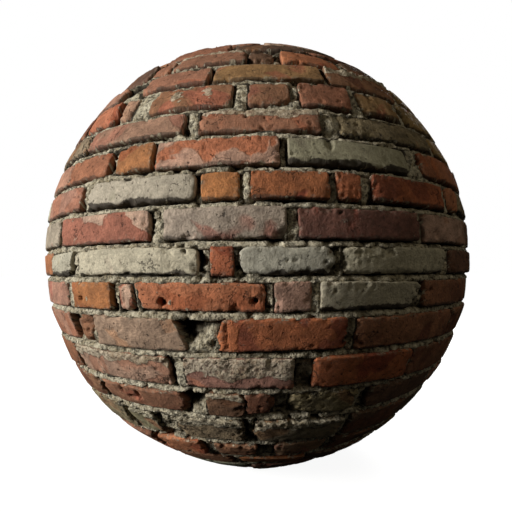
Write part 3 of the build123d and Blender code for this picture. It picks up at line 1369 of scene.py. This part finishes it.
def start_material(name: str) -> tuple[bpy.types.Material, Graph]:
    """Makes an empty material with nodes.

    Args:
        name: The material's name.

    Returns:
        The material, and the graph to fill.
    """
    material = bpy.data.materials.new(name)
    material.use_nodes = True
    return material, Graph(material.node_tree)


def add_group(graph: Graph, tree: bpy.types.NodeTree, **inputs: Value) -> bpy.types.NodeOutputs:
    """Places a shared effect in a material, with its own values.

    Args:
        graph: The material's graph.
        tree: The effect.
        inputs: A value or another node's socket for each input.

    Returns:
        The effect's outputs.
    """
    made = graph.node("ShaderNodeGroup")
    made.node_tree = tree
    for label, value in inputs.items():
        if isinstance(value, bpy.types.NodeSocket):
            graph.tree.links.new(value, made.inputs[label])
        else:
            made.inputs[label].default_value = value
    return made.outputs


@dataclass(frozen=True)
class BrickFinish:
    """A finish of fired clay, with what lies on it.

    Film is how far mortar sticks out over the edges, grime and reach how dark and how high the band of
    grime and painted shade at the foot of each brick is, coat whether lime lies on it, peel how much of
    that is gone, and cover how fully a smear of mortar hides the clay.
    """

    name: str
    coarseness: float = 1.0
    bump: float = 0.8
    roughness: float = 0.85
    film: float = 1.0
    # How strongly damp stains and painted shade in deep places darken the clay.
    shade_and_damp: float = 1.0
    blotch: float = 0.24
    grime_and_shade: float = 0.6
    reach: float = 4.5
    coat: bool = False
    peel: float = 0.30
    cover: float = 0.72

    def material(self, groups: Groups) -> bpy.types.Material:
        """Builds the finish.

        Args:
            groups: The shared effects.

        Returns:
            The material.
        """
        made, graph = start_material(self.name)
        place = graph.value("place")
        share, coat, smear = graph.parts(graph.value("traits"))
        rim, dip, up = graph.parts(graph.value("relief"))
        grit = add_group(graph, groups.grit, Place=place, Coarseness=self.coarseness)
        patch = graph.noise(place, 12, 4, 0.5, 0.7)
        limit = graph.add(0.72, share, -0.45)
        soft = graph.add(graph.add(0.135, share, -0.16), limit)
        shows = graph.ease(patch, limit, soft)
        colour = graph.blend(shows, graph.value("skin", "Color"), graph.value("body", "Color"))
        if self.coat:
            flakes = graph.add(graph.noise(place, 48, 6, 0.6), coat, 0.3)
            worn = graph.math("SUBTRACT", flakes, graph.ease(dip, 1.0, 6.0, 0.0, 0.12))
            bare = graph.ease(worn, self.peel + 0.28, self.peel + 0.22)
            colour = graph.blend(bare, colour, BARE_CLAY)
        blotch = graph.ease(graph.noise(place, 34, 6, 0.6), 0.3, 0.7, 1 - self.blotch, 1 + self.blotch)
        tone = graph.math("MULTIPLY", blotch, grit["Tone"])
        # The pits and hairlines, sunk in the bump, darken the clay: painted shade in them.
        tone = graph.math("MULTIPLY", tone, graph.ease(grit["Pits"], 0.0, 1.0, 1.0, 0.42))
        colour = graph.shade(colour, tone)
        weather_and_shade = add_group(
            graph, groups.weathering_and_shade, Colour=colour, Place=place, Rim=rim, Dip=dip, Soot=self.shade_and_damp
        )
        # Grime and painted shade: a ragged dark band along the foot of each brick, where shade falls under
        # it.
        ragged = graph.math("MULTIPLY", graph.noise(place, 75, 6, 0.7), -2.6 * self.reach)
        broad = graph.math("MULTIPLY", graph.ease(graph.noise(place, 15, 2), 0.35, 0.65), ragged)
        foot_grime_and_shade = graph.ease(graph.math("ADD", up, broad), 1.2, -1.2, 0.0, self.grime_and_shade)
        grimed_and_shaded = graph.blend(foot_grime_and_shade, weather_and_shade["Colour"], GRIME_AND_SHADE)
        film = add_group(graph, groups.film, Place=place, Rim=rim, Smear=smear, Spread=self.film)["Mask"]
        mortar = add_group(graph, groups.mortar, Place=place)
        colour = graph.blend(graph.math("MULTIPLY", film, self.cover), grimed_and_shaded, mortar["Colour"])
        height = graph.add(graph.add(grit["Height"], film, mortar["Height"]), shows, -0.35)
        bump = graph.node(
            "ShaderNodeBump", {"Height": height, "Strength": self.bump, "Distance": 0.0042}
        )
        shader = graph.node(
            "ShaderNodeBsdfPrincipled",
            {"Base Color": colour, "Roughness": self.roughness, "Normal": bump.outputs[0]},
        )
        shader.inputs["Specular IOR Level"].default_value = 0.3
        graph.node("ShaderNodeOutputMaterial", {0: shader.outputs[0]})
        return made


@dataclass(frozen=True)
class MortarFinish:
    """A finish of sandy mortar, with painted shade where deep. Crack is the width of the painted shade by
    its gaps.
    """

    name: str
    # How strongly damp stains and painted shade in deep places darken the mortar.
    shade_and_damp: float = 1.0
    bump: float = 1.0
    crack: float = 3.2

    def material(self, groups: Groups) -> bpy.types.Material:
        """Builds the finish.

        Args:
            groups: The shared effects.

        Returns:
            The material.
        """
        made, graph = start_material(self.name)
        place = graph.value("place")
        rim, dip, _ = graph.parts(graph.value("relief"))
        mortar = add_group(graph, groups.mortar, Place=place)
        sunk = graph.math("SUBTRACT", dip, 5.0)
        weather_and_shade = add_group(
            graph, groups.weathering_and_shade, Colour=mortar["Colour"], Place=place, Rim=rim, Dip=sunk, Soot=self.shade_and_damp
        )
        # Painted shade: a ragged dark line along the mortar's edge by the bricks, open in places, for the
        # gaps' shade.
        ragged = graph.math("MULTIPLY", graph.noise(place, 90, 5, 0.65), -self.crack * 2)
        open_line = graph.ease(graph.noise(place, 11, 3, 0.6), 0.37, 0.55, 0.10, 0.92)
        line = graph.math("MULTIPLY", graph.ease(graph.math("ADD", rim, ragged), 0.8, -0.8), open_line)
        colour = graph.blend(line, weather_and_shade["Colour"], GAP_SHADE)
        bump = graph.node(
            "ShaderNodeBump", {"Height": mortar["Height"], "Strength": self.bump, "Distance": 0.008}
        )
        shader = graph.node(
            "ShaderNodeBsdfPrincipled",
            {"Base Color": colour, "Roughness": 0.95, "Normal": bump.outputs[0]},
        )
        shader.inputs["Specular IOR Level"].default_value = 0.15
        graph.node("ShaderNodeOutputMaterial", {0: shader.outputs[0]})
        return made


# ---------------------------------------------------------------- the pieces


@dataclass
class Brickwork:
    """All that the ball is built of: its courses, its crown, its joints, its fill and its foot."""

    ball: Ball
    groups: Groups
    half_joint: float = HALF_JOINT
    seed: int = 100
    pocket: Hollow = Hollow(-11.0, -16.3, 34.0, 30.0, 12.0)
    crown_joints: tuple[float, ...] = (20.0, 128.0, 262.0)
    crown_gap: float = 4.0
    crown_top: float = 87.8
    cap_base: float = 86.6

    def __post_init__(self) -> None:
        """Makes the finishes and the tools that shape brick and mortar."""
        self.clay = BrickFinish("weathered_clay").material(self.groups)
        lime = {"bump": 0.7, "film": 0.7, "blotch": 0.1, "grime_and_shade": 0.9, "reach": 7.5}
        lime |= {"coat": True, "peel": 0.27}
        self.lime = BrickFinish("limewashed_brick", **lime).material(self.groups)
        burnt = {"coarseness": 0.8, "bump": 0.8, "roughness": 0.7, "film": 0.7}
        self.burnt = BrickFinish("overburnt_brick", **burnt).material(self.groups)
        crumbled = {"coarseness": 0.75, "bump": 1.5, "film": 1.4, "blotch": 0.3}
        self.crumbled = BrickFinish("crumbled_brick", **crumbled).material(self.groups)
        self.mortar = MortarFinish("lime_mortar").material(self.groups)
        self.bricks = BrickMaker(self.ball, hollows=HOLLOWS, splashes=SPLASHES)
        self.joints = MortarMaker(self.ball)
        self.bond = Bond(self.ball)

    def slot_of(self, clay: Clay) -> int:
        """The number of the finish that a kind of brick takes.

        Args:
            clay: The kind of brick.

        Returns:
            The finish's place in the piece's list of materials.
        """
        if clay.coat:
            return 1
        if clay is Clay.GREY_TAN:
            return 3
        return 2 if clay in (Clay.PLUM, Clay.MAUVE) else 0

    def course(self, number: int) -> None:
        """Builds one course: its bricks, and the mortar between them and in the bed under them.

        Args:
            number: The course, counted from the foot.
        """
        draws = np.random.default_rng(self.seed + number)
        low, high = self.ball.beds[number - 1], self.ball.beds[number]
        half = self.half_joint / self.ball.degree()
        laid = self.bond.round_course(number, draws)
        shells, slots = [], []
        for brick in laid:
            for part in pieces_of(brick):
                trim_low, trim_high = (abs(t) for t in draws.normal(0, 0.12, 2))
                shells.append(self.bricks.shell(part, low + half + trim_low, high - half - trim_high, draws))
                slots.append(self.slot_of(brick.clay))
        piece = join_shells(f"brick_course_{number:02d}", shells, slots)
        self.dress_bricks(piece)
        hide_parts(f"course_{number:02d}")
        plugs = [self.joints.bed(low)]
        following = [b.left for b in laid[1:]] + [laid[0].left + 360]
        for brick, right in zip(laid, following):
            plugs.append(self.joints.plug(brick.right, right, low, high, brick.after))
        self.dress_mortar(join_shells(f"mortar_joints_{number:02d}", plugs, [0] * len(plugs)))
        log.info("course %02d: %d bricks", number, len(laid))

    def crown(self) -> None:
        """Builds the three wedge bricks round the top pole, and their mortar."""
        draws = np.random.default_rng(self.seed - 1)
        low, high, gap = self.ball.beds[-1], self.crown_top, self.crown_gap
        half = self.half_joint / self.ball.degree()
        ends = (*self.crown_joints, self.crown_joints[0] + 360)
        kinds = (Clay.RED_BROWN, Clay.TAN, Clay.RED_ROSE)
        wedges = [Brick(a + gap, b - gap, clay, worn=0.5) for a, b, clay in zip(ends, ends[1:], kinds)]
        shells = [self.bricks.shell(wedge, low + half, high, draws) for wedge in wedges]
        piece = join_shells("brick_crown", shells, [0] * len(shells))
        self.dress_bricks(piece)
        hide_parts("crown")
        plugs = [self.joints.bed(low), self.joints.cap(self.cap_base)]
        plugs += [self.joints.plug(e - gap, e + gap, low, high, Joint.FULL) for e in self.crown_joints]
        self.dress_mortar(join_shells("mortar_joints_crown", plugs, [0] * len(plugs)))
        log.info("crown: %d bricks", len(wedges))

    def inside(self) -> None:
        """Builds the fill that the bricks are laid round, and the foot."""
        fill = join_shells("mortar_fill", [self.joints.fill((self.pocket,))], [0])
        self.dress_mortar(fill)
        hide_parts("mortar_core")
        foot = join_shells("bedding_foot", [self.joints.foot()], [0])
        self.dress_mortar(foot)
        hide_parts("foot")
        log.info("fill and foot")

    def dress_bricks(self, piece: bpy.types.Object) -> None:
        """Gives a piece the brick finishes.

        Args:
            piece: The piece.
        """
        for material in (self.clay, self.lime, self.burnt, self.crumbled):
            piece.data.materials.append(material)

    def dress_mortar(self, piece: bpy.types.Object) -> None:
        """Gives a piece the mortar finish."""
        piece.data.materials.append(self.mortar)

    def build(self) -> None:
        """Builds every piece, from the foot up."""
        self.inside()
        for number in range(1, len(self.ball.beds)):
            self.course(number)
        self.crown()


# ---------------------------------------------------------------- the studio


@dataclass(frozen=True)
class SoftLight:
    """A soft square light that looks at the ball's middle."""

    name: str
    around: float
    above: float
    away: float
    size: float
    power: float
    tint: Colour = (1.0, 1.0, 1.0)

    def build(self, middle: Vector) -> None:
        """Hangs the light.

        Args:
            middle: The ball's middle. The light's bearing runs from the front towards +X.
        """
        around, above = math.radians(self.around), math.radians(self.above)
        way = Vector(
            (math.sin(around) * math.cos(above), -math.cos(around) * math.cos(above), math.sin(above))
        )
        lamp = bpy.data.lights.new(self.name, "AREA")
        lamp.size, lamp.energy, lamp.color = self.size, self.power, self.tint
        made = bpy.data.objects.new(self.name, lamp)
        made.location = middle + way * self.away
        made.rotation_euler = (-way).to_track_quat("-Z", "Y").to_euler()
        bpy.context.scene.collection.objects.link(made)


@dataclass
class Studio:
    """The plain pale floor, the soft lights and the camera."""

    ball: Ball
    distance: float = 2.2
    elevation: float = -2.2
    roll: float = -0.4
    lens: float = 29.16
    drop: float = 0.07
    sideways: float = 0.124
    ambient: float = 0.012
    floor_half: float = 40.0
    floor_glow: tuple[float, float] = (0.93, 1.0)
    floor_reach: tuple[float, float] = (0.6, 3.0)
    lights: tuple[SoftLight, ...] = (
        SoftLight("key_light", -65, 15, 6.5, 1.7, 512.0, (1.0, 0.98, 0.94)),
        SoftLight("fill_light", 41, 38, 3.4, 3.0, 15.5, (1.0, 0.90, 0.70)),
        SoftLight("back_light", 153, 27, 3.2, 1.4, 125.0),
    )

    def build(self) -> None:
        """Sets everything up."""
        middle = Vector((0, 0, self.ball.centre / METRE))
        for light in self.lights:
            light.build(middle)
        self.surround()
        self.floor()
        self.camera(middle)
        bpy.context.scene.view_settings.view_transform = "Standard"
        log.info("studio: %d lights", len(self.lights))

    def surround(self) -> None:
        """Makes the world: white to look at, and a faint even light on the ball."""
        world = bpy.data.worlds.new("studio")
        world.use_nodes = True
        bpy.context.scene.world = world
        graph = Graph(world.node_tree)
        seen = graph.node("ShaderNodeLightPath").outputs["Is Camera Ray"]
        dim = graph.node("ShaderNodeBackground", {"Color": (1.0, 0.92, 0.75, 1), "Strength": self.ambient})
        white = graph.node("ShaderNodeBackground", {"Color": WHITE, "Strength": 1.0})
        mixed = graph.node("ShaderNodeMixShader", {0: seen, 1: dim.outputs[0], 2: white.outputs[0]})
        graph.node("ShaderNodeOutputWorld", {0: mixed.outputs[0]})

    def floor(self) -> None:
        """Lays a pale floor that throws no light back up at the ball."""
        made, graph = start_material("pale_floor")
        seen = graph.node("ShaderNodeLightPath").outputs["Is Camera Ray"]
        spot = graph.node("ShaderNodeNewGeometry").outputs["Position"]
        far = graph.node("ShaderNodeVectorMath", {0: spot}, operation="LENGTH").outputs["Value"]
        pale = graph.ease(far, *self.floor_reach, *self.floor_glow)
        glow = graph.node("ShaderNodeEmission", {"Color": WHITE, "Strength": pale})
        dull = graph.node("ShaderNodeBsdfDiffuse", {"Color": (0.25, 0.25, 0.25, 1)})
        lit = graph.node("ShaderNodeAddShader", {0: glow.outputs[0], 1: dull.outputs[0]})
        dark = graph.node("ShaderNodeBsdfDiffuse", {"Color": (0.02, 0.02, 0.02, 1)})
        mixed = graph.node("ShaderNodeMixShader", {0: seen, 1: dark.outputs[0], 2: lit.outputs[0]})
        graph.node("ShaderNodeOutputMaterial", {0: mixed.outputs[0]})
        half = self.floor_half
        mesh = bpy.data.meshes.new("floor")
        corners = [(-half, -half, 0), (half, -half, 0), (half, half, 0), (-half, half, 0)]
        mesh.from_pydata(corners, [], [(0, 1, 2, 3)])
        mesh.materials.append(made)
        plane = bpy.data.objects.new("floor", mesh)
        bpy.context.scene.collection.objects.link(plane)

    def camera(self, middle: Vector) -> None:
        """Sets up the camera.

        Args:
            middle: The ball's middle, a little off which the camera looks.
        """
        above = math.radians(self.elevation)
        back = Vector((0, -math.cos(above), math.sin(above)))
        lens = bpy.data.cameras.new("camera")
        lens.lens, lens.sensor_width = self.lens, 36.0
        lens.clip_start, lens.clip_end = 0.01, 100.0
        made = bpy.data.objects.new("camera", lens)
        made.location = middle + back * self.distance * self.ball.radius / METRE
        look = (-back).to_track_quat("-Z", "Y")
        turn = Euler((math.radians(-self.drop), math.radians(self.sideways), math.radians(self.roll)))
        made.rotation_mode = "QUATERNION"
        made.rotation_quaternion = look @ turn.to_quaternion()
        bpy.context.scene.collection.objects.link(made)
        bpy.context.scene.camera = made


def main() -> None:
    """Builds the brickwork and the studio."""
    logging.basicConfig(level=logging.INFO, format="%(message)s")
    ball = Ball.from_frame(HALF_JOINT)
    log.info("beds at %s", [round(bed, 1) for bed in ball.beds])
    Brickwork(ball, Groups.build()).build()
    Studio(ball).build()


if __name__ == "__main__":
    main()
